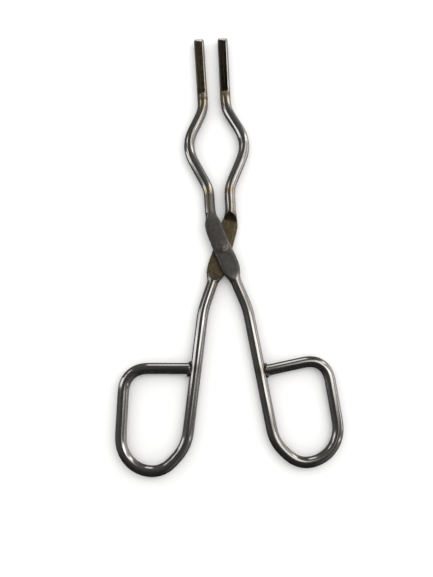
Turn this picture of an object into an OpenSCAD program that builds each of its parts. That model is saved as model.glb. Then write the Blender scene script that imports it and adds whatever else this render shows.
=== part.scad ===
// Crucible tongs: two bent rods crossing at a half-lap, held by one rivet.
// They lie flat. Y runs to the jaws, X to the right, Z up; the origin is the
// rivet's axis at the back face, which is the plane the tongs rest on.

/* [Rod] */
// Steel rod diameter (3/16 in)
rod_d = 4.76; // [4.3:0.02:5.2]

/* [Jaws] */
// Crossing to the jaw tips
jaw_reach = 101.9; // [98:0.1:110]
// Straight part of a jaw, from its tip to the corner of the neck bend
jaw_len = 36.2; // [33:0.1:38]
// Clear gap between the two tips as they lie
tip_gap = 6.56; // [4:0.02:9]
// Clear gap between the two jaws at the neck
neck_gap = 5.8; // [4:0.1:8]
// Bend radius at the neck
neck_r = 11.2; // [6:0.1:12]
// Bow corner, out from the middle line
bow_out = 14.6; // [13:0.1:17]
// Bow corner, ahead of the crossing
bow_reach = 48.6; // [46:0.1:50]
// Bend radius of the bow
bow_r = 15.7; // [10:0.1:16.5]
// Throat corner, out from the middle line
throat_out = 4.62; // [4.2:0.02:5.4]
// Throat corner, ahead of the crossing
throat_reach = 27; // [25:0.1:29]
// Bend radius at the throat
throat_r = 10.1; // [6:0.1:11]
// Pressed flat on the front and back of each tip, length
flat_len = 27.2; // [10:0.1:28]
// Pressed flat, depth below the crown of the rod
flat_depth = 0.85; // [0.3:0.05:1.2]
// Run-out ramp behind the pressed flat
flat_ramp = 1.8; // [0.8:0.1:3]
// Chamfer around the tip's end
tip_chamfer = 0.8; // [0.3:0.05:1.2]

/* [Lap and rivet] */
// Rivet's axis behind the crossing of the two centre lines
rivet_back = 0.85; // [0:0.05:1]
// Angle between the two arms as they lie
cross_angle = 33.7; // [30:0.1:38]
// Crossing to the bend on the jaw side
lap_fore = 16.4; // [15.5:0.1:18]
// Crossing to the bend on the handle side, front arm
front_lap_aft = 16; // [15:0.1:18]
// Crossing to the bend on the handle side, rear arm
rear_lap_aft = 15; // [14.5:0.1:18]
// Bend radius on the jaw side of the lap
fore_bend_r = 12; // [6:0.5:14]
// Bend radius on the handle side of the lap
aft_bend_r = 30; // [15:1:32]
// Half width of the lap on the side its own jaw leans to
lap_lean_w = 4.6; // [4.2:0.05:4.8]
// Half width of the lap on the other side, behind the crossing
lap_lee_w = 4.1; // [3.6:0.05:4.4]
// Half width of the lap on that side, ahead of the crossing
lap_nose_w = 3.2; // [2.8:0.05:3.6]
// Half-thickness length ahead of the crossing
seat_fore = 12.3; // [11.5:0.1:12.8]
// Half-thickness length behind the crossing
seat_aft = 12.9; // [12.8:0.1:13.6]
// Skew of the shoulder behind the crossing, which clears the other arm
aft_skew = 15; // [14:1:20]
// Length of the sloping shoulders
shoulder = 3; // [2:0.1:3.2]
// Running gap between the two lap faces, and under the rivet head
lap_gap = 0.1; // [0.05:0.01:0.2]
// Rivet shank diameter
rivet_d = 3.2; // [2.6:0.1:3.6]
// Rivet head diameter
head_d = 5.8; // [4.8:0.1:6.2]
// Rivet head height
head_h = 0.8; // [0.5:0.05:1.4]
// Rivet tail diameter where it is set flush in the back
tail_d = 4.6; // [4:0.1:5]
// Radial running clearance of the front arm on the rivet
run_clear = 0.05; // [0.02:0.01:0.08]

/* [Handles] */
// Front arm's bends: [out from the middle line, behind the crossing, radius]
front_handle = [
    [9.6, 29.1, 30], [17.4, 87.8, 15.2], [27.1, 97.7, 10.6],
    [46.3, 94.2, 14.7], [42.4, 52.6, 8.1]];
// Rear arm's bends: [out from the middle line, behind the crossing, radius]
rear_handle = [
    [10.1, 28.9, 36], [20.1, 87.5, 16.7], [31.1, 98.1, 10.9],
    [49.1, 94, 13.9], [45.5, 52.6, 9.3]];
// Front ring's closing bar meets its shank this far behind the crossing
front_bar_at = 57.3; // [55:0.1:60]
// Rear ring's closing bar meets its shank this far behind the crossing
rear_bar_at = 54.4; // [53:0.1:58]
// Gap between a closing bar's end and the shank, filled by the weld
root_gap = 0.3; // [0.1:0.05:0.6]
// Concave radius of the weld fillets
weld_r = 1.9; // [1.2:0.1:2.6]
// Depth of the weld through the thickness of the tongs
weld_depth = 3.4; // [2.4:0.1:4]

/* [Hidden] */
$fa = 5;
$fs = 0.3;
eps = 0.01;
over = 1;                         // how far a cut runs clear of what it cuts
far = 60;                         // long enough to cut right past a lap
slim = 0.04;                      // straights are this much thinner than bends, to end inside them
bite = 0.1;                       // how far a straight runs on into a bend
proud = 0.02;                     // the laps' outer faces stand this far off the rods
rod_r = rod_d / 2;
axis_z = rod_r + proud;           // height of the rods' centre lines
stack = 2 * axis_z;               // both laps together
chamfer_in = 0.8 * tip_chamfer;   // how far the tip's chamfer cuts in from the side
lap_turn = cross_angle / 2;
lap_end_w = rod_r - 0.2;          // half width of a lap's ends, inside the rod
lap_ease = 0.6;                   // how far a lap's edge draws in at its corners
head_rest = stack + lap_gap / 2;  // under side of the rivet head
head_ball = (head_d * head_d / 4 + head_h * head_h) / (2 * head_h);  // radius of the head's dome
tail_h = (tail_d - rivet_d) / 2;  // depth of the 45 degree countersink
weld_seat = 0.55 * rod_r;         // the weld starts this far out from its shank's centre line
front_color = [0.62, 0.61, 0.58];
rear_color = [0.56, 0.54, 0.50];
rivet_color = [0.48, 0.47, 0.45];
weld_color = [0.30, 0.26, 0.22];

// Point on the lap's centre line, which leans towards the jaw on -X.
function on_lap(s) = [-s * sin(lap_turn), s * cos(lap_turn)];
function heading(a, b) = atan2(b[1] - a[1], b[0] - a[0]);
function span(a, b) = norm([b[0] - a[0], b[1] - a[1]]);
function wrap(a) = a > 180 ? a - 360 : a < -180 ? a + 360 : a;

// Where the ring's closing bar meets the centre line of its own shank.
function bar_root(h, at) =
    let (k = (at - h[0][1]) / (h[1][1] - h[0][1]))
    [h[0][0] + k * (h[1][0] - h[0][0]), -at];

// The bar's cut end, a root gap short of the shank's side.
function bar_end(h, at) =
    let (root = bar_root(h, at), top = [h[4][0], -h[4][1]],
         lean = heading([h[1][0], -h[1][1]], [h[0][0], -h[0][1]]) - heading(root, top),
         back = (rod_r + root_gap) / sin(abs(wrap(lean))), k = back / span(root, top))
    root + k * (top - root);

// One arm's corners, tip to weld, each [x, y, bend radius].
function arm_path(h, at, aft) = concat(
    [[-(tip_gap + rod_d) / 2, jaw_reach, 0],
     [-(neck_gap + rod_d) / 2, jaw_reach - jaw_len, neck_r],
     [-bow_out, bow_reach, bow_r],
     [-throat_out, throat_reach, throat_r],
     concat(on_lap(lap_fore), fore_bend_r),
     concat(on_lap(-aft), aft_bend_r)],
    [for (b = h) [b[0], -b[1], b[2]]],
    [concat(bar_end(h, at), 0)]);

front_path = arm_path(front_handle, front_bar_at, front_lap_aft);
rear_path = arm_path(rear_handle, rear_bar_at, rear_lap_aft);

function turn(p, i) = wrap(heading(p[i], p[i + 1]) - heading(p[i - 1], p[i]));
function setback(p, i) = i == 0 || i == len(p) - 1 ? 0 : p[i][2] * tan(abs(turn(p, i)) / 2);

// A straight length of rod after corner i, running on a little into the bends.
module straight(p, i) {
    start = setback(p, i) - bite;
    stop = span(p[i], p[i + 1]) - setback(p, i + 1) + (i < len(p) - 2 ? bite : 0);
    translate([p[i][0], p[i][1], axis_z])
        rotate([0, 0, heading(p[i], p[i + 1]) - 90])
            translate([0, start, 0])
                rotate([-90, 0, 0]) cylinder(d = rod_d - slim, h = stop - start);
}

// A bend in the rod, an arc of a ring.
module bend(p, i) {
    a = heading(p[i - 1], p[i]);
    t = turn(p, i);
    side = t > 0 ? 1 : -1;
    start = [p[i][0], p[i][1]] - setback(p, i) * [cos(a), sin(a)];
    centre = start + side * p[i][2] * [-sin(a), cos(a)];
    translate([centre[0], centre[1], axis_z])
        rotate([0, 0, t > 0 ? a - 90 : a + t + 90])
            rotate_extrude(angle = abs(t))
                translate([p[i][2], 0]) circle(d = rod_d);
}

// The whole bent rod, round from end to end, with the tip chamfered.
module bent_rod(p) {
    for (i = [1 : len(p) - 2]) {
        straight(p, i);
        bend(p, i);
    }
    jaw(p);
}

// The straight jaw, turned about its own line from the neck bend to the tip.
module jaw(p) {
    h = span(p[0], p[1]) - setback(p, 1) + bite;
    r = (rod_d - slim) / 2;
    translate([p[1][0], p[1][1], axis_z])
        rotate([0, 0, heading(p[1], p[0]) - 90])
            translate([0, setback(p, 1) - bite, 0])
                rotate([-90, 0, 0])
                    rotate_extrude()
                        polygon([[0, 0], [r, 0], [r, h - tip_chamfer], [r - chamfer_in, h], [0, h]]);
}

// Waste pressed out of one face of the tip: flat, then a ramp.
module tip_waste(p) {
    flat = rod_r - flat_depth;
    a = heading(p[1], p[0]);
    translate([p[0][0], p[0][1], axis_z])
        rotate([0, 0, a - 90])
            rotate([90, 0, -90])
                linear_extrude(height = 2 * rod_d, center = true)
                    polygon([[-over, flat], [flat_len, flat], [flat_len + flat_ramp, rod_r + eps],
                             [flat_len + flat_ramp, rod_d], [-over, rod_d]]);
}

// Outline of the widened lap, along +Y to the jaw, which leans to -X.
module lap_outline() {
    fore = seat_fore + shoulder;
    aft = -seat_aft - shoulder - lap_ease;
    polygon([
        [-lap_end_w, fore], [lap_ease - lap_lean_w, seat_fore - lap_ease],
        [-lap_lean_w, 0.65 * seat_fore], [-lap_lean_w, 0], [lap_ease - lap_lean_w, -seat_aft],
        [-lap_end_w, aft], [lap_end_w, aft],
        [lap_lee_w - lap_ease, -seat_aft - lap_ease], [lap_lee_w, -0.85 * seat_aft],
        [lap_lee_w, -0.55 * seat_aft], [lap_nose_w, 0.15 * seat_fore],
        [lap_nose_w, 0.85 * seat_fore], [lap_end_w, fore - shoulder / 2]]);
}

// One wedge of the lap's waste: level, then a shoulder sloping up at y = 0.
module shoulder_wedge() {
    low = -lap_gap / 2;
    rise = rod_r + over;
    run = shoulder * (rise - low) / (rod_r - low);
    rotate([90, 0, 90])
        linear_extrude(height = far, center = true)
            polygon([[-far, low], [0, low], [run, rise], [-far, rise]]);
}

// Waste cut from the lap to half thickness, with a sloping shoulder each end.
module lap_waste() {
    intersection() {
        translate([0, seat_fore, 0]) shoulder_wedge();
        translate([0, -seat_aft, 0]) rotate([0, 0, 180 + aft_skew]) shoulder_wedge();
    }
}

// One arm with its lap in the lower half, jaw on -X.
module arm(p) {
    difference() {
        union() {
            bent_rod(p);
            rotate([0, 0, lap_turn]) linear_extrude(height = axis_z) lap_outline();
        }
        rotate([0, 0, lap_turn]) translate([0, 0, axis_z]) lap_waste();
        tip_waste(p);
        face_about() tip_waste(p);
    }
}

// Turns an arm face about, so that its lap is in the upper half.
module face_about() {
    translate([0, 0, stack]) mirror([0, 0, 1]) children();
}

// Moves a piece from the crossing's frame to the rivet's.
module place() {
    translate([0, rivet_back, 0]) children();
}

module front_arm() {
    color(front_color)
        difference() {
            place() face_about() arm(front_path);
            translate([0, 0, -over]) cylinder(d = rivet_d + 2 * run_clear, h = stack + 2 * over);
        }
}

module rear_arm() {
    color(rear_color)
        difference() {
            place() mirror([1, 0, 0]) arm(rear_path);
            translate([0, 0, -over]) cylinder(d = rivet_d, h = stack + 2 * over);
            translate([0, 0, -eps]) cylinder(d1 = tail_d + 2 * eps, d2 = rivet_d, h = tail_h + eps);
        }
}

module pivot_rivet() {
    color(rivet_color) {
        cylinder(d = rivet_d, h = head_rest + eps);
        cylinder(d1 = tail_d, d2 = rivet_d, h = tail_h);
        intersection() {
            translate([0, 0, head_rest + head_h - head_ball]) sphere(r = head_ball);
            translate([0, 0, head_rest]) cylinder(d = head_d + over, h = head_h + over);
        }
    }
}

// The weld that closes a ring: a fillet each side of the bar, filling its root.
module ring_weld(h, at) {
    root = bar_root(h, at);
    up = heading([h[1][0], -h[1][1]], [h[0][0], -h[0][1]]);
    out = heading(root, [h[4][0], -h[4][1]]);
    lean = wrap(up - 90 - out);
    difference() {
        translate([root[0], root[1], axis_z - weld_depth / 2])
            linear_extrude(height = weld_depth) weld_outline(up, out, lean);
        translate([root[0], root[1], axis_z]) {
            rotate([0, 0, up - 90]) rotate([90, 0, 0]) cylinder(d = rod_d, h = 4 * rod_d, center = true);
            rotate([0, 0, out]) translate([(rod_r + root_gap) / cos(lean), 0, 0])
                rotate([0, 90, 0]) cylinder(d = rod_d, h = 4 * rod_d);
        }
    }
}

// Plan of the weld, from the shank's centre line out along the bar.
module weld_outline(up, out, lean) {
    side = rod_r + weld_r;
    intersection() {
        rotate([0, 0, out]) translate([weld_seat, -side])
            square([rod_r + root_gap + weld_r - weld_seat, 2 * side]);
        difference() {
            rotate([0, 0, out]) translate([0, -side - over]) square([2 * rod_d, 2 * (side + over)]);
            for (y = [-side, side])
                rotate([0, 0, out])
                    translate([rod_r / cos(lean) + weld_r - y * tan(lean), y]) circle(r = weld_r);
        }
    }
}

module front_ring_weld() {
    color(weld_color) place() ring_weld(front_handle, front_bar_at);
}

module rear_ring_weld() {
    color(weld_color) place() mirror([1, 0, 0]) ring_weld(rear_handle, rear_bar_at);
}

front_arm();
rear_arm();
pivot_rivet();
front_ring_weld();
rear_ring_weld();
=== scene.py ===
"""Crucible tongs: two bent steel rods crossing at a riveted half-lap, on a pale floor."""

import math

import bmesh
import bpy
import numpy as np
from mathutils import Matrix, Vector, noise
from mathutils.kdtree import KDTree


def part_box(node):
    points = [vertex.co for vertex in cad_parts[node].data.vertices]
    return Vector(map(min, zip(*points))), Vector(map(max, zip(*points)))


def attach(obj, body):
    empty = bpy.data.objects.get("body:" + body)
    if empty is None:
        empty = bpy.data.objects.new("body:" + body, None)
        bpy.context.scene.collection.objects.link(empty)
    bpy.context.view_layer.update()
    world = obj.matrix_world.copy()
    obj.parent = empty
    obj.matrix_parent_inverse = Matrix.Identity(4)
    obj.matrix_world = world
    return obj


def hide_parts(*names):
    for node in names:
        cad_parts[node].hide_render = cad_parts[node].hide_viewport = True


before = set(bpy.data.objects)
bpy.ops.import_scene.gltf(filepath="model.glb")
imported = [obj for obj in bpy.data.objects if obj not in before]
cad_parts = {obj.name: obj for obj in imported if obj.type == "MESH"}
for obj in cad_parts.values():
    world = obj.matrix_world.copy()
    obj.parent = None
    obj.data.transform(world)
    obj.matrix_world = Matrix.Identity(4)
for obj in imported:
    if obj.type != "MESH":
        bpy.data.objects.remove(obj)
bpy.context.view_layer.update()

MM = 0.001

# The rods, in millimetres, as in the CAD.
ROD_R = 2.38
PROUD = 0.02                        # the laps stand this far off the rods
AXIS_Z = ROD_R + PROUD              # height of the centre lines
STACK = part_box("front_arm")[1].z / MM
FLAT_LEN, FLAT_RAMP = 27.2, 1.8
LAP_TURN = math.radians(33.7 / 2)
SEAT_FORE, SEAT_AFT, AFT_SKEW, SHOULDER = 12.3, 12.9, math.radians(15), 3.4
LAP_GAP = 0.1
ROOT_GAP = 0.3
CROSSING = (0, 0.85)                # the centre lines cross this far from the rivet's axis
TIP_ROLL = math.radians(13)         # the pressed faces of the tips lean this much to -X
FLAT_DEPTH = 0.76                   # depth of those faces, a little less than in the CAD

# Corners of the centre lines from tip to weld: [x, y, bend radius], jaw on -X.
TIP, NECK, BOW, THROAT = (-5.66, 101.9, 0), (-5.28, 66.2, 11.2), (-14.6, 48.6, 15.7), (-4.62, 27.0, 10.1)
LAP_FORE, FORE_R, AFT_R = 16.4, 12, 30
FRONT_HANDLE = [(9.6, -29.1, 30), (17.4, -87.8, 15.2), (27.1, -97.7, 10.6), (46.3, -94.2, 14.7),
                (42.4, -52.6, 8.1)]
REAR_HANDLE = [(10.1, -28.9, 36), (20.1, -87.5, 16.7), (31.1, -98.1, 10.9), (49.1, -94.0, 13.9),
               (45.5, -52.6, 9.3)]
FRONT_LAP_AFT, REAR_LAP_AFT = 16.0, 15.0
FRONT_BAR_AT, REAR_BAR_AT = 57.3, 54.4

# Centres of the heat tints at the neck, the bow and the throat, as distances from the tip.
NECK_HEAT, BOW_HEAT, THROAT_HEAT = 31, 60, 79

# Half widths of a lap at distances ahead of the crossing: on the side its jaw leans to, and on the other.
LEAN_AT = [-17.2, -15.4, -12.9, -8, 0, 8, 11.5, 14, 15.5, 17.5]
LEE_AT = [-17.2, -15.6, -13.4, -10.8, -7.2, 1.8, 10.4, 13.2, 15]
FRONT_LEAN_W = [2.38, 2.75, 3.95, 4.3, 4.55, 4.75, 4.3, 2.95, 2.55, 2.38]
REAR_LEAN_W = [2.38, 2.75, 3.95, 4.3, 4.55, 4.65, 4.35, 3.4, 2.85, 2.38]
FRONT_LEE_W = [2.38, 2.6, 3.5, 4.05, 4.05, 3.2, 3.1, 2.5, 2.38]
REAR_LEE_W = [2.45, 3.2, 4.0, 4.3, 4.1, 3.2, 3.1, 2.5, 2.38]


def on_lap(s):
    """The point this far ahead of the crossing along the lap."""
    return (-s * math.sin(LAP_TURN), s * math.cos(LAP_TURN))


def unit(v):
    return v / np.linalg.norm(v)


def bar_root(handle, at):
    """Where a ring's closing bar meets the centre line of its shank."""
    a, b = np.array(handle[0][:2]), np.array(handle[1][:2])
    return a + (b - a) * (-at - a[1]) / (b[1] - a[1])


def bar_end(handle, at):
    """The bar's cut end, a root gap short of the shank's side."""
    root, top = bar_root(handle, at), np.array(handle[4][:2])
    along, shank = unit(top - root), unit(np.array(handle[0][:2]) - np.array(handle[1][:2]))
    lean = abs(along[0] * shank[1] - along[1] * shank[0])
    return root + along * (ROD_R + ROOT_GAP) / lean


def arm_corners(handle, at, aft):
    return ([TIP, NECK, BOW, THROAT, (*on_lap(LAP_FORE), FORE_R), (*on_lap(-aft), AFT_R)]
            + handle + [(*bar_end(handle, at), 0)])


FINE = 0.05                         # spacing of the traced centre line
SOFTEN = 1.9                        # how gently a bend starts


def trace(corners):
    """Centre line through the rounded corners: points and headings every FINE."""
    pts = []
    for i, corner in enumerate(corners):
        p = np.array(corner[:2], float)
        if i in (0, len(corners) - 1):
            other = np.array(corners[1 if i == 0 else i - 1][:2])
            pts += [p, p + 8 * SOFTEN * unit(p - other)][::-1 if i == 0 else 1]
            continue
        a = unit(p - np.array(corners[i - 1][:2]))
        b = unit(np.array(corners[i + 1][:2]) - p)
        turn = math.atan2(a[0] * b[1] - a[1] * b[0], a @ b)
        start = p - a * corner[2] * math.tan(abs(turn) / 2)
        centre = start + math.copysign(corner[2], turn) * np.array((-a[1], a[0]))
        for k in np.linspace(0, turn, 60):
            c, s = math.cos(k), math.sin(k)
            d = start - centre
            pts.append(centre + np.array((c * d[0] - s * d[1], s * d[0] + c * d[1])))
    pts = np.array(pts)
    run = np.concatenate([[0], np.cumsum(np.linalg.norm(np.diff(pts, axis=0), axis=1))])
    s = np.arange(0, run[-1], FINE)
    pts = np.stack([np.interp(s, run, pts[:, k]) for k in (0, 1)], 1)
    half = int(3 * SOFTEN / FINE)
    kernel = np.exp(-0.5 * (np.arange(-half, half + 1) * FINE / SOFTEN) ** 2)
    kernel /= kernel.sum()
    soft = np.stack([np.convolve(pts[:, k], kernel, "same") for k in (0, 1)], 1)
    crop = int(8 * SOFTEN / FINE)
    soft = soft[crop:-crop]
    head = np.gradient(soft, axis=0)
    return soft, head / np.linalg.norm(head, axis=1)[:, None]


QUARTER = 18                        # points on a quarter of a section
SCOOP = 0.16                        # depth of the press's mark at the root of a tip's flat


def quarter(w, h, n):
    """Points from (w, 0) to (0, h) on a superellipse, evenly spaced."""
    t = np.linspace(0, math.pi / 2, 121)
    u, v = w * np.cos(t) ** (2 / n), h * np.sin(t) ** (2 / n)
    u[-1] = 0
    run = np.concatenate([[0], np.cumsum(np.hypot(np.diff(u), np.diff(v)))])
    even = np.linspace(0, run[-1], QUARTER + 1)
    return np.interp(even, run, u), np.interp(even, run, v)


def section(left, right, up, down, n_up, n_down):
    """A closed section: right side, up over the top, left side, and back under."""
    ru, rv = quarter(right, up, n_up)
    lu, lv = quarter(left, up, n_up)
    du, dv = quarter(left, down, n_down)
    eu, ev = quarter(right, down, n_down)
    u = np.concatenate([ru[:-1], -lu[::-1][:-1], -du[:-1], eu[::-1][:-1]])
    v = np.concatenate([rv[:-1], lv[::-1][:-1], -dv[:-1], -ev[::-1][:-1]])
    return u, v


def smooth(x, a, b):
    """0 up to a, 1 from b on, and an eased step between."""
    t = np.clip((x - a) / (b - a), 0, 1)
    return t * t * (3 - 2 * t)


def soft_min(a, b, k):
    """The smaller of two values, blended where they differ by less than k."""
    h = np.clip(0.5 + 0.5 * (b - a) / k, 0, 1)
    return b + (a - b) * h - k * h * (1 - h)


def wander(x, y, seed, scale):
    """A smooth random drift, positive and negative."""
    return noise.noise(Vector((x * scale, y * scale, seed * 7.3)))


def hump(x, centre, half):
    """1 at the centre, falling smoothly to 0 at half either side."""
    return np.exp(-((x - centre) / half) ** 2)


def stations(length, pivot):
    """Where sections stand along a rod: close together at the tip and the lap."""
    stops = [(0, 1.2, 0.1), (1.2, FLAT_LEN - 1, 0.55), (FLAT_LEN - 1, FLAT_LEN + 4, 0.16),
             (FLAT_LEN + 4, pivot - 20, 0.55), (pivot - 20, pivot + 20, 0.18),
             (pivot + 20, length - 0.5, 0.55), (length - 0.5, length, 0.1)]
    s = [np.linspace(a, b, max(2, round((b - a) / d) + 1))[:-1] for a, b, d in stops]
    return np.concatenate(s + [[length]])


def arm_mesh(name, corners, lap_w, seed, place, dents, creases=()):
    """One arm as a single skin, in the arm's frame with its lap in the lower half, then put in place."""
    line, heads = trace(corners)
    length = (len(line) - 1) * FINE
    pivot = FINE * np.argmin(np.hypot(line[:, 0], line[:, 1]))
    q_fine = np.arange(-20, 20, 0.1)
    kernel = np.exp(-0.5 * (np.arange(-15, 16) * 0.1 / 0.6) ** 2)
    kernel /= kernel.sum()

    def widths(at, w):
        return np.convolve(np.pad(np.interp(q_fine, at, w), 15, "edge"), kernel, "valid")

    lean_w, lee_w = widths(LEAN_AT, lap_w[0]), widths(LEE_AT, lap_w[1])
    verts, flow, zones = [], [], []
    for s in stations(length, pivot):
        i = min(int(round(s / FINE)), len(line) - 1)
        p, t = line[i], heads[i]
        side = np.array((-t[1], t[0]))
        q = pivot - s
        lean, lee = np.interp(q, q_fine, lean_w), np.interp(q, q_fine, lee_w)
        # The section is a round rod where lap is 0, and flat below where it is 1.
        lap = smooth(q, -17.5, -13.2) * (1 - smooth(q, 12.4, 16.5))
        edge = 0.1 * lap
        lean += edge * wander(q, 0, seed, 0.55)
        lee += edge * wander(q, 5, seed, 0.6)
        u, v = section(lean, lee, ROD_R, ROD_R + PROUD * lap, 2, 2 + 5 * lap)
        xy = p + u[:, None] * side
        ahead = -xy[:, 0] * math.sin(LAP_TURN) + xy[:, 1] * math.cos(LAP_TURN)
        across = xy[:, 0] * math.cos(LAP_TURN) + xy[:, 1] * math.sin(LAP_TURN)
        if abs(q) < 21:
            v = cut_lap(u, v, ahead, across, lean, lee)
        v = press_tip(s, u, v)
        u, v = round_tip(s, u, v)
        u, v = round_end(length - s, u, v)
        for at, angle, size, depth in dents:
            u, v = dent(s, u, v, at, angle, size, depth)
        for start, end, size, depth in creases:
            v = crease(p + u[:, None] * side, v, np.array(start), np.array(end), size, depth)
        z = AXIS_Z + v
        ring = np.arctan2(v, u)
        for k in range(len(u)):
            verts.append((xy[k, 0] if s > 1.2 else p[0] + u[k] * side[0],
                          xy[k, 1] if s > 1.2 else p[1] + u[k] * side[1], z[k]))
            flow.append((ROD_R * math.cos(ring[k]), ROD_R * math.sin(ring[k]), s))
            zones.append((s, q, u[k], v[k]))
    count, around = len(verts) // (4 * QUARTER), 4 * QUARTER
    faces = []
    for r in range(count - 1):
        for k in range(around):
            a, b = r * around + k, r * around + (k + 1) % around
            faces.append((a, a + around, b + around, b))
    # Each end is closed by two shrinking rings and a centre point.
    verts = np.array(verts)
    for ring, reverse in ((0, False), (count - 1, True)):
        loop = [ring * around + k for k in range(around)]
        centre = verts[loop].mean(0)
        inner = len(verts)
        extra = [centre + (verts[k] - centre) * f for f in (0.6, 0.25) for k in loop] + [centre]
        verts = np.vstack([verts, extra])
        for _ in range(2):
            flow += [flow[k] for k in loop]
            zones += [zones[k] for k in loop]
        flow.append(flow[loop[0]])
        zones.append(zones[loop[0]])
        rings = [loop, list(range(inner, inner + around)), list(range(inner + around, inner + 2 * around))]
        for a, b in zip(rings, rings[1:]):
            for k in range(around):
                f = (a[k], a[(k + 1) % around], b[(k + 1) % around], b[k])
                faces.append(f[::-1] if reverse else f)
        for k in range(around):
            f = (rings[2][k], rings[2][(k + 1) % around], len(verts) - 1)
            faces.append(f[::-1] if reverse else f)
    verts = place(verts)
    mesh = bpy.data.meshes.new(name)
    mesh.from_pydata((verts * MM).tolist(), [], [f[::-1] for f in faces])
    mesh.update()
    obj = bpy.data.objects.new(name, mesh)
    bpy.context.scene.collection.objects.link(obj)
    paint(obj, "flow", flow)
    for poly in mesh.polygons:
        poly.use_smooth = True
    return obj, np.array(zones), verts


def cut_lap(u, v, ahead, across, lean, lee):
    """Cuts the lap to half thickness from above, with a sloping shoulder at each end."""
    fore = ahead - SEAT_FORE
    aft = across * math.sin(AFT_SKEW) - (ahead + SEAT_AFT) * math.cos(AFT_SKEW)
    rise = (ROD_R + LAP_GAP / 2) / SHOULDER
    soften = 0.15
    up = soften * np.logaddexp(0, (np.maximum(fore, aft) - 0.15) / soften) * rise
    bevel = 0.22 * np.clip(1 - np.minimum(lee - u, lean + u) / 0.4, 0, 1) ** 2
    bevel += 0.42 * np.clip(1 - (lean + u) / 1.3, 0, 1) * smooth(ahead, 0, 2.5)
    ridges = 0.09 * sum(hump(aft, at, 0.24) for at in (0.5, 1.4, 2.3))
    return soft_min(v, -LAP_GAP / 2 + up - bevel * np.clip(1 - up / 0.6, 0, 1) - ridges, 0.06)


def press_tip(s, u, v):
    """Presses both faces of the tip flat, with a scooped run-out."""
    if s > FLAT_LEN + FLAT_RAMP + 1:
        return v
    root = smooth(s, FLAT_LEN + 1, FLAT_LEN + 3)
    run_out = FLAT_DEPTH * smooth(s, FLAT_LEN, FLAT_LEN + FLAT_RAMP) + 0.5 * root
    scoop = SCOOP * (hump(s, FLAT_LEN - 0.9, 0.55) - 0.6 * hump(s, FLAT_LEN + 0.3, 0.5))
    chamfer = 0.26 * np.clip(1 - s / 1.3, 0, 1) ** 1.25
    flat = ROD_R - FLAT_DEPTH + run_out - scoop - chamfer
    lean = u * math.sin(TIP_ROLL) * smooth(s, 1.1, 1.6) * (1 - root)
    top, bottom = (flat - lean) / math.cos(TIP_ROLL), (flat + lean) / math.cos(TIP_ROLL)
    return -soft_min(-soft_min(v, top, 0.05), bottom, 0.05)


def round_tip(s, u, v):
    """Rounds the sides of the tip's end."""
    if s > 0.9:
        return u, v
    away = 1 - s / 0.9
    shrink = 1 - 0.5 * (1 - math.sqrt(max(0.0, 1 - away * away))) / ROD_R
    ease = 1 - 0.22 * max(0.0, 1 - s / 0.3) ** 2 / ROD_R
    return u * shrink, v * (0.5 + 0.5 * shrink) * ease


def round_end(left, u, v):
    """Breaks the edge of the closing bar's cut end."""
    shrink = 1 - 0.3 * (1 - left / 0.4) ** 2 / ROD_R if left < 0.4 else 1
    return u * shrink, v * shrink


def dent(s, u, v, at, angle, size, depth):
    """A small flat left by the bending tool."""
    along = (s - at) / size
    if abs(along) > 2.5:
        return u, v
    toward = u * math.cos(angle) + v * math.sin(angle)
    limit = ROD_R - depth * math.exp(-along * along)
    over = np.maximum(toward - limit, 0)
    return u - over * math.cos(angle), v - over * math.sin(angle)


def crease(xy, v, start, end, size, depth):
    """A shallow groove across the outer face of the lap, which is at negative v."""
    length, along = np.linalg.norm(end - start), unit(end - start)
    run = (xy - start) @ along
    off = (xy - start) @ np.array((-along[1], along[0]))
    fade = smooth(run, 0, 1) * (1 - smooth(run, length - 1, length)) * smooth(-v, 1.3, 2.0)
    return v + depth * hump(off, 0, size) * fade


def paint(obj, name, rgb):
    """Stores three values per vertex for the material to read."""
    attribute = obj.data.attributes.new(name, "FLOAT_VECTOR", "POINT")
    attribute.data.foreach_set("vector", np.array(rgb, np.float32).ravel())


# The front arm is mirrored top to bottom, the rear arm left to right.
def place_front(p):
    return p * (1, 1, -1) + (*CROSSING, STACK)


def place_rear(p):
    return p * (-1, 1, 1) + (*CROSSING, 0)


# Dents of the bending tool: distance from the tip, angle round the rod, length and depth.
FRONT_DENTS = [(47, -1.2, 1.3, 0.05), (63, -0.6, 1.1, 0.06)]
REAR_DENTS = [(66, 0.6, 1.2, 0.07), (44, 1.4, 1.3, 0.05)]
# Creases beside the rivet: start, end, width and depth.
FRONT_CREASES = [((-3.8, -3.5), (3.8, -4.9), 0.32, 0.14), ((-2.4, -3.0), (1.6, -3.4), 0.22, 0.10)]

front, front_at, front_p = arm_mesh(
    "front_arm_rod", arm_corners(FRONT_HANDLE, FRONT_BAR_AT, FRONT_LAP_AFT), (FRONT_LEAN_W, FRONT_LEE_W), 1,
    place_front, FRONT_DENTS, FRONT_CREASES)
rear, rear_at, rear_p = arm_mesh(
    "rear_arm_rod", arm_corners(REAR_HANDLE, REAR_BAR_AT, REAR_LAP_AFT), (REAR_LEAN_W, REAR_LEE_W), 2,
    place_rear, REAR_DENTS)


# ---- rivet -------------------------------------------------------------------

RIVET_R, HEAD_R, HEAD_H, TAIL_R = 1.6, 2.9, 0.8, 2.3
HEAD_REST = STACK + LAP_GAP / 2
RIVET_SIDES = 72
# Hammer facets on the head: bearing and tilt in degrees, and height as a share of HEAD_H.
FACETS = [(20, 9, 0.80), (75, 16, 0.93), (130, 12, 0.84), (190, 19, 0.95), (245, 11, 0.80), (305, 15, 0.90)]


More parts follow.
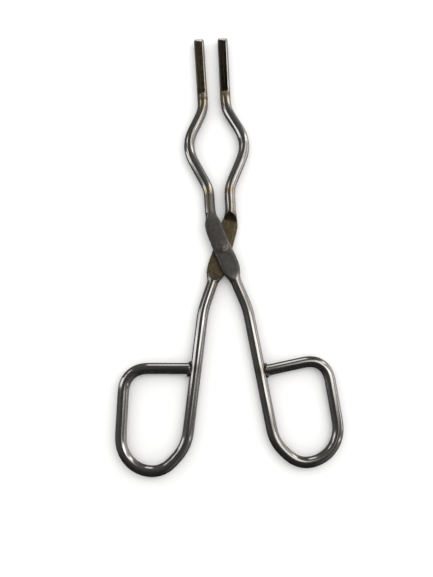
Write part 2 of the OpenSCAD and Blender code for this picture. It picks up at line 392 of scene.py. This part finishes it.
def rivet_head(x, y):
    """Height of the hammered head over its rest."""
    r = math.hypot(x, y)
    ball = (HEAD_R ** 2 + HEAD_H ** 2) / (2 * HEAD_H)
    h = math.sqrt(max(ball ** 2 - r * r, 0)) - ball + HEAD_H
    for bearing, tilt, top in FACETS:
        a, t = math.radians(bearing), math.tan(math.radians(tilt))
        h = float(soft_min(h, top * HEAD_H - t * (x * math.cos(a) + y * math.sin(a)) + 0.1, 0.05))
    return max(h + 0.03 * noise.noise(Vector((x * 1.6, y * 1.6, 3))) * (1 - (r / HEAD_R) ** 4), 0.0)


def rivet_mesh():
    """Head, shank and flush countersunk tail as one turned skin."""
    # The head's rings are given no height, since rivet_head gives it.
    rings = [(HEAD_R * math.sin(k / 20 * math.pi / 2), None) for k in range(1, 21)]
    rings += [(HEAD_R - 0.04, HEAD_REST + 0.02), (HEAD_R - 0.12, HEAD_REST), (RIVET_R + 0.02, HEAD_REST),
              (RIVET_R - 0.02, HEAD_REST - 0.04), (RIVET_R - 0.02, 2.4), (RIVET_R - 0.02, TAIL_R - RIVET_R),
              (TAIL_R - 0.06, 0.05), (TAIL_R - 0.12, 0.0), (1.4, 0.03), (0.7, 0.02)]
    verts = [(0, 0, HEAD_REST + rivet_head(0, 0))]
    for r, z in rings:
        for k in range(RIVET_SIDES):
            a = 2 * math.pi * k / RIVET_SIDES
            rim = 0.012 if z is None and r > 2.2 else 0
            wob = 1 + rim * noise.noise(Vector((math.cos(a), math.sin(a), 9)))
            x, y = r * wob * math.cos(a), r * wob * math.sin(a)
            verts.append((x, y, HEAD_REST + 0.06 + 0.93 * rivet_head(x, y) if z is None else z))
    verts.append((0, 0, 0.02))
    n, last = RIVET_SIDES, len(rings) - 1
    faces = [(0, 1 + k, 1 + (k + 1) % n) for k in range(n)]
    faces += [(1 + r * n + k, 1 + (r + 1) * n + k, 1 + (r + 1) * n + (k + 1) % n, 1 + r * n + (k + 1) % n)
              for r in range(last) for k in range(n)]
    faces += [(len(verts) - 1, 1 + last * n + (k + 1) % n, 1 + last * n + k) for k in range(n)]
    mesh = bpy.data.meshes.new("rivet")
    mesh.from_pydata([tuple(c * MM for c in v) for v in verts], [], faces)
    mesh.update()
    for poly in mesh.polygons:
        poly.use_smooth = True
    obj = bpy.data.objects.new("hammered_rivet", mesh)
    bpy.context.scene.collection.objects.link(obj)
    return obj


rivet = rivet_mesh()


def apply(obj, kind, **settings):
    """Adds a modifier and bakes it into the mesh."""
    modifier = obj.modifiers.new(kind, kind)
    for key, value in settings.items():
        setattr(modifier, key, value)
    bpy.context.view_layer.objects.active = obj
    bpy.ops.object.modifier_apply(modifier=modifier.name)


def drill(arm, profile):
    """Cuts a turned hole, given as (radius, height) from the bottom up, through the lap.

    The cut drops the values stored per vertex, so each new vertex takes those of the nearest old one.
    """
    old = {name: np.zeros(3 * len(arm.data.vertices), np.float32) for name in ("flow", "zones")}
    for name, values in old.items():
        arm.data.attributes[name].data.foreach_get("vector", values)
    tree = KDTree(len(arm.data.vertices))
    for v in arm.data.vertices:
        tree.insert(v.co, v.index)
    tree.balance()
    verts = [(r * math.cos(a), r * math.sin(a), z) for r, z in profile
             for a in (2 * math.pi * k / RIVET_SIDES for k in range(RIVET_SIDES))]
    n, rows = RIVET_SIDES, len(profile)
    faces = [(r * n + k, r * n + (k + 1) % n, (r + 1) * n + (k + 1) % n, (r + 1) * n + k)
             for r in range(rows - 1) for k in range(n)]
    faces += [tuple(reversed(range(n))), tuple(range((rows - 1) * n, rows * n))]
    mesh = bpy.data.meshes.new("drill")
    mesh.from_pydata([tuple(c * MM for c in v) for v in verts], [], faces)
    tool = bpy.data.objects.new("drill", mesh)
    bpy.context.scene.collection.objects.link(tool)
    apply(arm, "BOOLEAN", object=tool, operation="DIFFERENCE", solver="EXACT")
    bpy.data.objects.remove(tool)
    bpy.data.meshes.remove(mesh)
    nearest = [tree.find(v.co)[1] for v in arm.data.vertices]
    for name, values in old.items():
        if name in arm.data.attributes:
            arm.data.attributes.remove(arm.data.attributes[name])
        paint(arm, name, values.reshape(-1, 3)[nearest])


# ---- welds -------------------------------------------------------------------

def weld_mesh(name, handle, at, seed, side, drops=()):
    """A weld bead round a bar's end, from overlapping lumps remeshed into one skin."""
    root, top = bar_root(handle, at), np.array(handle[4][:2])
    out, up = unit(top - root), unit(np.array(handle[0][:2]) - np.array(handle[1][:2]))
    lumps = []
    # Two corners of the joint, from the back of the rod to its front.
    for z in np.linspace(-1.15, 1.15, 6):
        j = wander(z, seed, seed, 1.9)
        waist = math.sqrt(ROD_R ** 2 - z * z)
        for s in (-1, 1):
            lumps.append((s * (waist - 0.05 + 0.1 * j), ROD_R + 0.35, z, 0.8 + 0.08 * j))
            lumps.append((s * (waist + 0.6 + 0.2 * j), waist - 0.1, z * 0.85, 0.5))
            lumps.append((s * (waist - 0.35), ROD_R + 1.0 + 0.2 * j, z * 0.85, 0.5))
    # A row across the bar's end, in front and behind.
    for a in np.linspace(-1.9, 1.9, 7):
        j = wander(a, seed + 3, seed, 2.3)
        for s in (-1, 1):
            lumps.append((a, 2.25 + 0.12 * j, s * (0.75 + 0.1 * j), 0.72 + 0.06 * j))
    lumps += list(drops)
    verts, faces = [], []
    ball = bmesh.new()
    bmesh.ops.create_icosphere(ball, subdivisions=3, radius=1)
    unit_verts = [v.co.copy() for v in ball.verts]
    unit_faces = [[v.index for v in f.verts] for f in ball.faces]
    ball.free()
    for a, d, z, r in lumps:
        base = len(verts)
        x, y = root + d * out + a * up
        for v in unit_verts:
            verts.append((side * (x + v.x * r), CROSSING[1] + y + v.y * r, AXIS_Z + z + v.z * r))
        faces += [[base + k for k in (f if side > 0 else f[::-1])] for f in unit_faces]
    mesh = bpy.data.meshes.new(name)
    mesh.from_pydata(verts, [], faces)
    obj = bpy.data.objects.new(name, mesh)
    bpy.context.scene.collection.objects.link(obj)
    apply(obj, "REMESH", mode="VOXEL", voxel_size=0.13)
    apply(obj, "SMOOTH", factor=0.5, iterations=4)
    data = obj.data
    for v in data.vertices:
        ripple = noise.noise(v.co * 1.1 + Vector((seed, 0, 0))) * 0.09 + noise.noise(v.co * 3.1) * 0.03
        v.co += v.normal * ripple
        v.co.z = min(max(v.co.z, 0.75), 4.05)
    data.transform(Matrix.Scale(MM, 4))
    for poly in data.polygons:
        poly.use_smooth = True
    return obj


FRONT_ROOT = bar_root(FRONT_HANDLE, FRONT_BAR_AT) + CROSSING
REAR_ROOT = bar_root(REAR_HANDLE, REAR_BAR_AT) * (-1, 1) + CROSSING
front_weld = weld_mesh("front_weld_bead", FRONT_HANDLE, FRONT_BAR_AT, 4, 1)
# A droplet hangs under the rear weld.
DROPLET = [(-2.9, 3.0, 0.3, 0.7), (-3.3, 3.1, 0.4, 0.5)]
rear_weld = weld_mesh("rear_weld_bead", REAR_HANDLE, REAR_BAR_AT, 7, -1, DROPLET)


# ---- materials ---------------------------------------------------------------

class Nodes:
    """Short calls for building a node tree."""

    def __init__(self, tree):
        self.tree = tree
        tree.nodes.clear()

    def add(self, kind, inputs=(), **settings):
        node = self.tree.nodes.new(kind)
        for key, value in settings.items():
            setattr(node, key, value)
        for key, value in dict(inputs).items():
            socket = node.inputs[key]
            if isinstance(value, bpy.types.NodeSocket):
                self.tree.links.new(value, socket)
            else:
                socket.default_value = value
        return node

    def math(self, operation, a, b=0.0, c=0.0):
        node = self.add("ShaderNodeMath", {0: a, 1: b, 2: c}, operation=operation)
        return node.outputs[0]

    def mix(self, factor, a, b, blend="MIX"):
        node = self.add("ShaderNodeMix", data_type="RGBA", blend_type=blend, clamp_factor=True)
        for socket, value in ((node.inputs[0], factor), (node.inputs[6], a), (node.inputs[7], b)):
            if isinstance(value, bpy.types.NodeSocket):
                self.tree.links.new(value, socket)
            else:
                socket.default_value = value
        return node.outputs[2]

    def noise(self, vector, scale, detail=3.0, rough=0.5):
        return self.add("ShaderNodeTexNoise", {"Vector": vector, "Scale": scale, "Detail": detail,
                                               "Roughness": rough}).outputs["Fac"]

    def span(self, value, low, high, to_low=0.0, to_high=1.0):
        return self.add("ShaderNodeMapRange", {"Value": value, "From Min": low, "From Max": high,
                                               "To Min": to_low, "To Max": to_high}).outputs["Result"]

    def stretch(self, vector, scale):
        return self.add("ShaderNodeVectorMath", {0: vector, 1: scale}, operation="MULTIPLY").outputs[0]


def rgb(r, g, b):
    return (r, g, b, 1.0)


def steel(name, bright, deep, straw, brown, lap_tone, lap_dark):
    """Polished rod with drawn streaks; masks: x heat tint, y matte forged face, z weld scale and painted
    shade.
    """
    material = bpy.data.materials.new(name)
    material.use_nodes = True
    n = Nodes(material.node_tree)
    flow = n.add("ShaderNodeAttribute", attribute_name="flow").outputs["Vector"]
    masks = n.add("ShaderNodeSeparateXYZ",
                  {0: n.add("ShaderNodeAttribute", attribute_name="zones").outputs["Vector"]})
    place = n.add("ShaderNodeTexCoord").outputs["Object"]
    heat, matte, grime_and_shade = masks.outputs[0], masks.outputs[1], masks.outputs[2]
    streak = n.noise(n.stretch(flow, (1, 1, 0.04)), 1.7, 3, 0.5)
    fine = n.noise(n.stretch(flow, (1, 1, 0.03)), 8, 2, 0.5)
    patch = n.noise(n.stretch(flow, (0.5, 0.5, 0.12)), 0.9, 4, 0.6)
    grain = n.noise(place, 2600, 4, 0.65)
    blotch = n.noise(place, 520, 4, 0.6)
    bands = n.noise(n.stretch(flow, (1, 1, 0.03)), 0.85, 3, 0.65)
    pits = n.span(n.noise(place, 1500, 2, 0.5), 0.66, 0.74)
    colour = n.mix(n.span(streak, 0.35, 0.68), rgb(*bright), rgb(*deep))
    colour = n.mix(n.span(patch, 0.5, 0.72, 0, 0.55), colour, rgb(*deep))
    warm = n.math("MULTIPLY", heat, n.span(blotch, 0.3, 0.62, 0.6, 1.25))
    colour = n.mix(n.span(warm, 0.05, 0.5), colour, rgb(*straw))
    colour = n.mix(n.span(warm, 0.45, 1.0), colour, rgb(*brown))
    lap = n.mix(n.span(blotch, 0.34, 0.64), rgb(*lap_tone), rgb(*lap_dark))
    lap = n.mix(n.span(grain, 0.55, 0.8, 0, 0.5), lap, rgb(*lap_dark))
    lap = n.mix(n.span(bands, 0.48, 0.68, 0, 0.45), lap, rgb(*lap_dark))
    colour = n.mix(matte, colour, lap)
    # The z mask darkens toward brown-black: scale near the welds, painted shade on the tips, shoulder,
    # bevel and ridges.
    dirt_and_shade = n.math("MULTIPLY", grime_and_shade, n.span(blotch, 0.25, 0.6, 0.75, 1.1))
    dirt_and_shade = n.math("MULTIPLY", dirt_and_shade, n.span(bands, 0.36, 0.6, 0.62, 0.98))
    colour = n.mix(dirt_and_shade, colour, rgb(0.037, 0.030, 0.016))
    colour = n.mix(n.math("MULTIPLY", pits, 0.25), colour, rgb(0.08, 0.06, 0.045))
    rough = n.span(streak, 0.3, 0.7, 0.09, 0.18)
    rough = n.math("ADD", rough, n.span(fine, 0.45, 0.75, 0, 0.06))
    rough = n.math("ADD", rough, n.math("MULTIPLY", warm, 0.1))
    rough_lap = n.span(grain, 0.3, 0.7, 0.42, 0.6)
    rough = n.add("ShaderNodeMix", {0: matte, 2: rough, 3: rough_lap}, data_type="FLOAT").outputs[0]
    height = n.math("ADD", n.math("MULTIPLY", fine, 0.0006), n.math("MULTIPLY", streak, 0.003))
    rugged = n.math("ADD", n.math("MULTIPLY", grain, 0.012), n.math("MULTIPLY", blotch, 0.03))
    height = n.math("ADD", height, n.math("MULTIPLY", rugged, matte))
    height = n.math("SUBTRACT", height, n.math("MULTIPLY", pits, 0.0015))
    bump = n.add("ShaderNodeBump", {"Height": height, "Distance": MM, "Strength": 1.0}).outputs[0]
    shader = n.add("ShaderNodeBsdfPrincipled", {"Base Color": colour, "Roughness": rough, "Normal": bump,
                                                "Metallic": 1.0})
    n.add("ShaderNodeOutputMaterial", {"Surface": shader.outputs[0]})
    return material


def near(points, centre, reach):
    """1 at a place on the lap's plane, falling smoothly to 0 with the distance from it."""
    return np.exp(-(np.linalg.norm(points[:, :2] - centre, axis=1) / reach) ** 2)


def tip_mask(s, u, v):
    """The pressed faces of the tip, short of the bright band at its end."""
    pressed = smooth(ROD_R - np.hypot(u, v), 0.03, 0.12)
    return (1 - smooth(s, FLAT_LEN, FLAT_LEN + 1)) * smooth(s, 1.25, 1.4) * pressed


def front_masks(at, points):
    """Heat tint, matte, and weld scale with painted shade of the front arm; its visible side is at negative
    v.
    """
    s, q, u, v = at.T
    lean_edge = np.interp(q, LEAN_AT, FRONT_LEAN_W) + u
    lee_edge = np.interp(q, LEE_AT, FRONT_LEE_W) - u
    heat = 0.5 * hump(s, NECK_HEAT, 6) + 0.5 * hump(s, THROAT_HEAT, 2) + 0.08 * hump(s, BOW_HEAT, 6)
    matte = smooth(q, -18.5, -13) * (1 - smooth(q, 12, 17))
    throat = smooth(q, 11, 14) * (1 - smooth(q, 24.5, 26.5)) * smooth(u, -1.9, -1.0)
    rim = hump(lean_edge, 0.1, 0.35) * hump(q, -5.5, 3.5) + hump(lee_edge, 0.15, 0.35) * hump(q, -1.5, 2.5)
    matte = np.maximum(matte, 0.8 * throat) * (1 - 0.9 * rim * (v < -0.8))
    matte += 0.5 * hump(s, FLAT_LEN + 3, 1.2) + 0.4 * hump(s, 71, 3) * (1 - smooth(u, -1.2, -0.4))
    tip, weld = tip_mask(s, u, v), near(points, FRONT_ROOT, 2.9)
    jaw = smooth(s, 1.3, 1.7) * (1 - smooth(s, 24, 27))
    heat += 0.35 * jaw + 0.3 * tip + 0.2 * weld + 0.25 * throat
    # Painted shade darkens the tip's pressed faces; the darkening near the weld is scale.
    grime_and_shade = 0.66 * tip + 0.5 * weld ** 2
    # Painted shade in the scoop at the root of the tip's flat and along the foot of its run-out.
    grime_and_shade += 0.5 * hump(s, FLAT_LEN + 0.8, 1.1) + 0.6 * hump(s, FLAT_LEN + 3.6, 0.4)
    # Painted shade along the crease behind the tip's end and round the end itself.
    grime_and_shade += 0.6 * hump(s, 1.4, 0.15) + 0.5 * hump(s, 0, 0.2)
    return np.stack([heat, matte, grime_and_shade], 1)


def rear_masks(at, points):
    """Heat tint, matte, and weld scale with painted shade of the rear arm."""
    s, q, u, v = at.T
    heat = 0.35 * hump(s, NECK_HEAT, 5) + 0.45 * hump(s, THROAT_HEAT, 2) + 0.5 * hump(q, 0, 17)
    matte = smooth(q, -18, -13.5) * (1 - smooth(q, 13.4, 16)) + 0.85 * hump(s, FLAT_LEN + 1.6, 1.5)
    # Painted highlights: two lighter, polished lines on the ridge crests at the lap's aft end.
    matte -= sum(0.35 * hump(q - 0.25 * u, at, 0.28) for at in (-14.0, -15.2))
    # The shoulder at the lap's jaw end, which gets painted shade.
    shoulder = hump(q, 14.6, 1.7) * (v > -0.3)
    lean_edge = np.interp(q, LEAN_AT, REAR_LEAN_W) + u
    bevel = (1 - smooth(lean_edge, 0.9, 1.5)) * smooth(q, 0, 2.5) * (1 - smooth(q, 12, 14))
    tip, weld = tip_mask(s, u, v), near(points, REAR_ROOT, 2.9)
    heat = heat + 0.2 * weld + 0.4 * tip
    # Painted shade on the tip's pressed faces, the shoulder, the bevel and the lap's aft end; the darkening
    # near the weld is scale.
    grime_and_shade = 1.08 * tip + 0.95 * shoulder + 0.45 * bevel + 0.35 * hump(q, -16.2, 1.0) + 0.5 * weld ** 2
    # Painted shade in three lines at the ridges of the lap's aft end.
    grime_and_shade += sum(0.55 * hump(q - 0.25 * u, at, 0.3) for at in (-13.4, -14.6, -15.7))
    # Painted shade along the crease behind the tip's end and round the end itself.
    grime_and_shade += 0.6 * hump(s, 1.4, 0.15) + 0.5 * hump(s, 0, 0.2)
    return np.stack([heat, matte, grime_and_shade], 1)


paint(front, "zones", front_masks(front_at, front_p))
paint(rear, "zones", rear_masks(rear_at, rear_p))
drill(front, [(RIVET_R + 0.05, -1), (RIVET_R + 0.05, 9)])
drill(rear, [(TAIL_R + 1, -1), (TAIL_R, 0), (RIVET_R, TAIL_R - RIVET_R), (RIVET_R, 9)])
for arm in (front, rear):
    arm.data.set_sharp_from_angle(angle=math.radians(48))

front.data.materials.append(steel(
    "front rod steel", bright=(0.52, 0.505, 0.49), deep=(0.30, 0.29, 0.275), straw=(0.47, 0.39, 0.29),
    brown=(0.21, 0.16, 0.085), lap_tone=(0.16, 0.155, 0.145), lap_dark=(0.115, 0.112, 0.103)))
rear.data.materials.append(steel(
    "rear rod steel", bright=(0.52, 0.51, 0.50), deep=(0.30, 0.29, 0.28), straw=(0.46, 0.38, 0.28),
    brown=(0.20, 0.15, 0.075), lap_tone=(0.215, 0.175, 0.108), lap_dark=(0.135, 0.105, 0.065)))


def scaled(name, base, dark, bright, size, rough, bumpy):
    """Dull blotchy metal for the rivet and the welds, lighter on sharply convex spots."""
    material = bpy.data.materials.new(name)
    material.use_nodes = True
    n = Nodes(material.node_tree)
    place = n.add("ShaderNodeTexCoord").outputs["Object"]
    blotch = n.noise(place, size, 4, 0.6)
    grain = n.noise(place, size * 5, 3, 0.6)
    convexity = n.add("ShaderNodeNewGeometry").outputs["Pointiness"]
    colour = n.mix(n.span(blotch, 0.36, 0.62), rgb(*dark), rgb(*base))
    colour = n.mix(n.span(grain, 0.5, 0.75, 0, 0.5), colour, rgb(*dark))
    # Lighter colour where the surface is most convex.
    colour = n.mix(n.span(convexity, 0.51, 0.56, 0, 0.8), colour, rgb(*bright))
    height = n.math("ADD", n.math("MULTIPLY", blotch, bumpy), n.math("MULTIPLY", grain, bumpy * 0.3))
    bump = n.add("ShaderNodeBump", {"Height": height, "Distance": MM, "Strength": 1.0}).outputs[0]
    shader = n.add("ShaderNodeBsdfPrincipled", {"Base Color": colour, "Normal": bump, "Metallic": 1.0,
                                                "Roughness": n.span(grain, 0.3, 0.7, *rough)})
    n.add("ShaderNodeOutputMaterial", {"Surface": shader.outputs[0]})
    return material


rivet.data.materials.append(scaled(
    "rivet steel", base=(0.22, 0.205, 0.195), dark=(0.12, 0.11, 0.10), bright=(0.33, 0.305, 0.295),
    size=900, rough=(0.34, 0.52), bumpy=0.05))
bead = scaled("weld metal", base=(0.15, 0.115, 0.09), dark=(0.045, 0.033, 0.026), bright=(0.42, 0.37, 0.33),
              size=1100, rough=(0.26, 0.5), bumpy=0.05)
front_weld.data.materials.append(bead)
rear_weld.data.materials.append(bead)

for obj, body, node, slot in ((rivet, "rear_half", "pivot_rivet", "rivet_steel"),
                              (front_weld, "front_half", "front_ring_weld", "weld_metal"),
                              (rear_weld, "rear_half", "rear_ring_weld", "weld_metal"),
                              (front, "front_half", "front_arm", "front_rod_steel"),
                              (rear, "rear_half", "rear_arm", "rear_rod_steel")):
    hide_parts(node)
    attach(obj, body)

# ---- stage -------------------------------------------------------------------

# The photograph's camera, as fitted to the rods. Its distance and its aim are in metres.
VIEW_AZ, VIEW_EL, VIEW_FAR = math.radians(-3.06), math.radians(78), 0.340
VIEW_LENS = 47.73
VIEW_AIM = Vector((-3.69, -18.52, 2.5)) * MM


def look_from(az, el):
    """The turn of something that looks back from a bearing and a height, and the way to it."""
    back = Vector((math.sin(az) * math.cos(el), -math.cos(az) * math.cos(el), math.sin(el)))
    right = Vector((0, 0, 1)).cross(back).normalized()
    up = back.cross(right)
    return Matrix((right, up, back)).transposed().to_4x4(), back


turn, back = look_from(VIEW_AZ, VIEW_EL)
camera = bpy.data.objects.new("camera", bpy.data.cameras.new("camera"))
camera.data.lens = VIEW_LENS
camera.data.sensor_width = 36
camera.data.clip_start = 0.01
camera.matrix_world = Matrix.Translation(VIEW_AIM + back * VIEW_FAR) @ turn
bpy.context.scene.collection.objects.link(camera)
bpy.context.scene.camera = camera

floor_mesh = bpy.data.meshes.new("floor")
grid = bmesh.new()
bmesh.ops.create_grid(grid, x_segments=2, y_segments=2, size=4)
grid.to_mesh(floor_mesh)
floor = bpy.data.objects.new("floor", floor_mesh)
bpy.context.scene.collection.objects.link(floor)
floor.location.z = -0.2 * MM        # just clear of the rods
floor.visible_glossy = False
pale = bpy.data.materials.new("pale floor")
pale.use_nodes = True
n = Nodes(pale.node_tree)
shader = n.add("ShaderNodeBsdfPrincipled", {"Base Color": rgb(0.93, 0.93, 0.925), "Roughness": 0.9,
                                            "Specular IOR Level": 0.1})
n.add("ShaderNodeOutputMaterial", {"Surface": shader.outputs[0]})
floor_mesh.materials.append(pale)


def softbox(name, at, wide, tall, radiance, tone=(1, 1, 1), aim=(0, 0, 0)):
    """A rectangular light facing its aim; radiance is what a mirror would show of it."""
    light = bpy.data.lights.new(name, "AREA")
    light.shape = "RECTANGLE"
    light.size, light.size_y = wide, tall
    light.energy = radiance * math.pi * wide * tall
    light.color = tone
    obj = bpy.data.objects.new(name, light)
    away = Vector(at) - Vector(aim)
    turn, _ = look_from(math.atan2(away.x, -away.y), math.asin(away.z / away.length))
    obj.matrix_world = Matrix.Translation(at) @ turn
    obj.visible_camera = False
    bpy.context.scene.collection.objects.link(obj)


# Each box is one bright patch of the room that the rods reflect.
WARM, COOL = (1.0, 0.96, 0.9), (0.98, 0.97, 1.0)
softbox("key_core", (0.22, 0.02, 0.34), 0.10, 0.32, 1.9)
softbox("key_wide", (0.24, 0.07, 0.34), 0.25, 0.46, 0.6, WARM)
softbox("slot_right", (0.39, -0.20, 0.19), 0.035, 0.26, 1.3, aim=(0, -0.08, 0))
softbox("low_right", (0.42, 0.17, 0.03), 0.58, 0.13, 1.1, COOL, (0, 0.17, 0.01))
softbox("right_far", (0.31, 0.25, 0.18), 0.07, 0.26, 2.1, WARM, (0, 0.08, 0))
softbox("key_far", (0.19, 0.155, 0.34), 0.08, 0.16, 1.3, WARM)
softbox("left", (-0.31, 0.065, 0.12), 0.10, 0.35, 1.6, COOL, (0, 0.05, 0.1))
softbox("left_far", (-0.30, 0.265, 0.28), 0.07, 0.16, 1.5, WARM, (0, 0.07, 0))
softbox("left_high", (-0.31, 0.155, 0.26), 0.05, 0.10, 1.9, aim=(0, 0.02, 0))
softbox("back", (0.0, 0.45, 0.16), 0.14, 0.34, 1.4, aim=(0, 0, 0.02))

# The floor is lit by an even pale dome; reflections see a dim room, darkest toward -Y.
world = bpy.data.worlds.new("studio")
bpy.context.scene.world = world
world.use_nodes = True
n = Nodes(world.node_tree)
path = n.add("ShaderNodeLightPath")
ray = n.add("ShaderNodeSeparateXYZ", {0: n.add("ShaderNodeTexCoord").outputs["Generated"]})
ahead, right, above = ray.outputs[1], ray.outputs[0], ray.outputs[2]
room = n.mix(n.span(ahead, -0.45, 0.55), rgb(0.028, 0.028, 0.027), rgb(0.12, 0.118, 0.112))
room = n.mix(n.span(right, 0.25, 0.95, 0, 0.8), room, rgb(0.30, 0.295, 0.29))
far_left = n.math("MULTIPLY", n.span(right, -0.4, -0.95, 0, 0.6), n.span(ahead, -0.45, 0.05))
room = n.mix(far_left, room, rgb(0.16, 0.16, 0.155))
room = n.mix(n.span(above, 0.86, 0.985, 0, 0.85), room, rgb(0.07, 0.07, 0.067))
table = n.math("MULTIPLY", n.span(right, 0.35, 0.8), n.span(above, 0.12, -0.08))
table = n.math("MULTIPLY", table, n.span(ahead, -0.35, 0.25))
room = n.mix(table, room, rgb(0.72, 0.69, 0.66))
dim = n.add("ShaderNodeBackground", {"Color": room, "Strength": 1.0})
light = n.add("ShaderNodeBackground", {"Color": rgb(0.95, 0.95, 0.95), "Strength": 1.0})
both = n.add("ShaderNodeMixShader", {0: path.outputs["Is Glossy Ray"], 1: light.outputs[0],
                                     2: dim.outputs[0]})
n.add("ShaderNodeOutputWorld", {"Surface": both.outputs[0]})

bpy.context.scene.view_settings.view_transform = "Standard"
